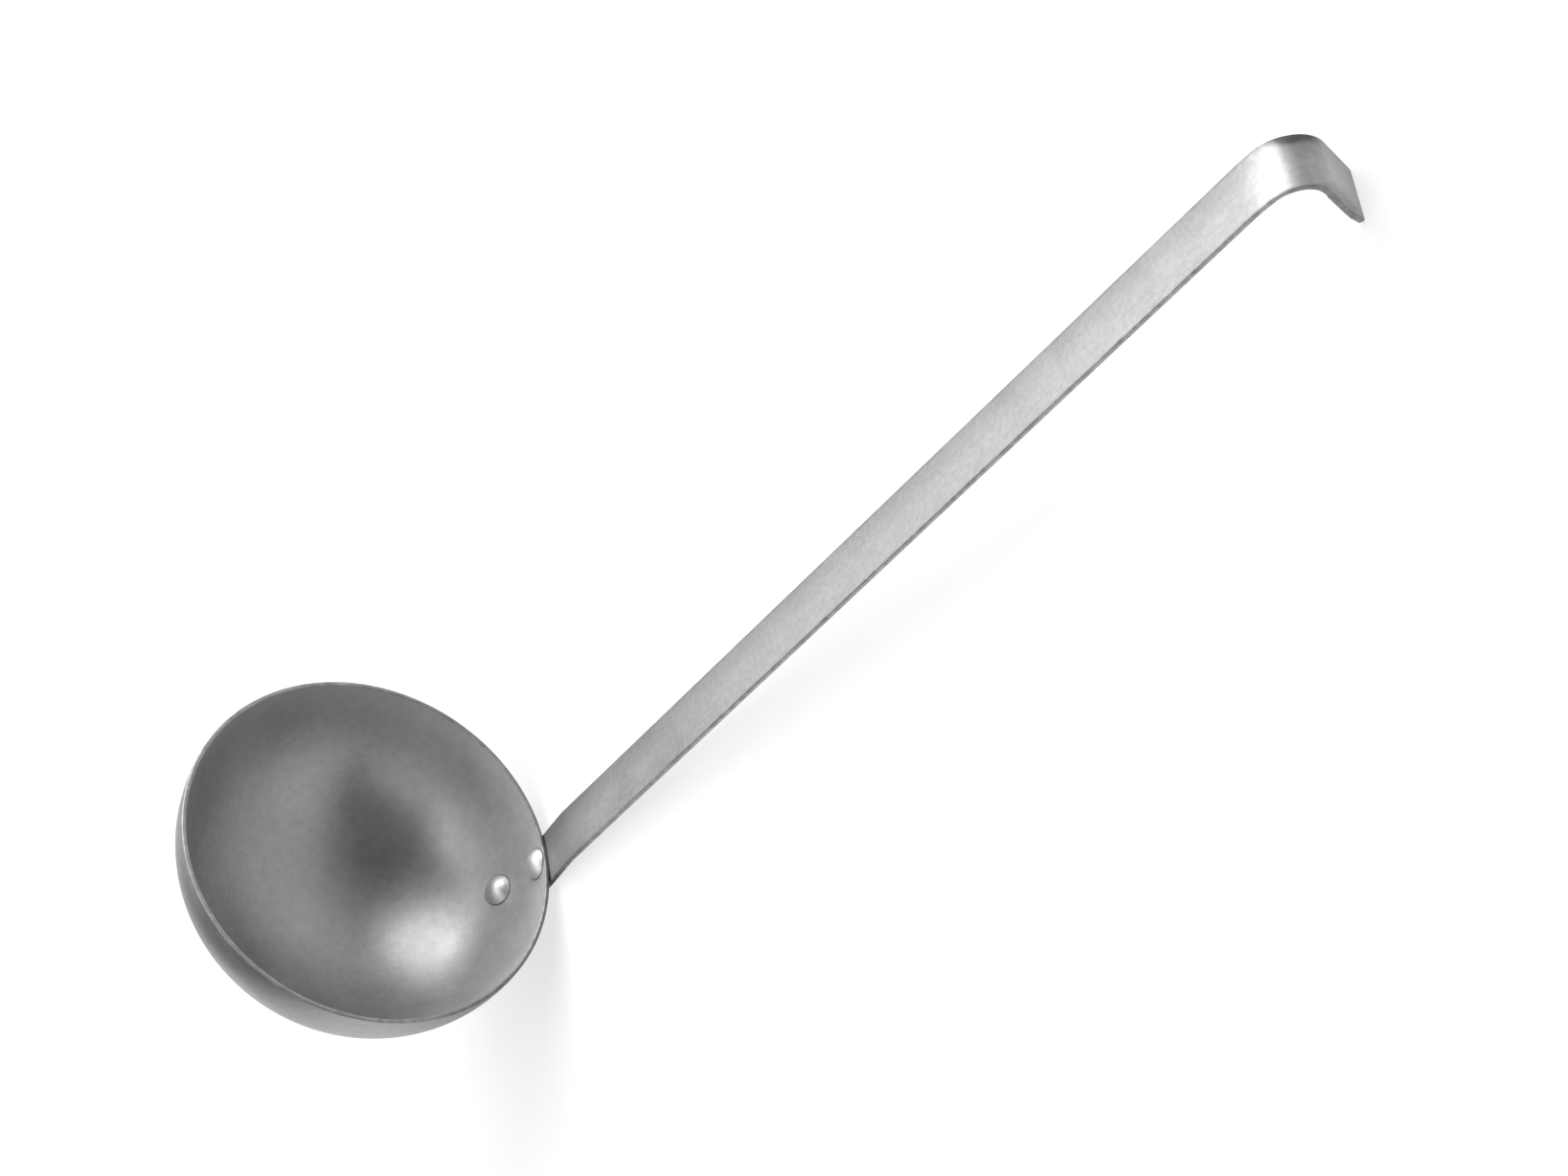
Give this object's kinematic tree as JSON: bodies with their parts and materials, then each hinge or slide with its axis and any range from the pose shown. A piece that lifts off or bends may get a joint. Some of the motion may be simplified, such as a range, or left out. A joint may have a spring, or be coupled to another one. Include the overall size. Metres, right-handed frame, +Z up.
{
  "type": "kitchen ladle",
  "caption": "Steel ladle with a round deep bowl, a flat strap handle riveted to it and a hanging hook bent into the handle's end.",
  "frame": {"origin": "on the surface that the ladle lies on, below the centre of its overall box", "axes": "+X runs from the bowl to the hook, +Y across the strap, +Z up from the surface that it lies on"},
  "size_m": [0.4504, 0.12, 0.1201],
  "materials": {
    "bowl_steel": "satin, fine concentric grain",
    "handle_steel": "satin, fine lengthwise grain",
    "rivet_steel": "smooth satin"
  },
  "bodies": {
    "root": {"bowl": "bowl_steel", "handle": "handle_steel", "upper_rivet": "rivet_steel", "lower_rivet": "rivet_steel"}
  },
  "joints": []
}
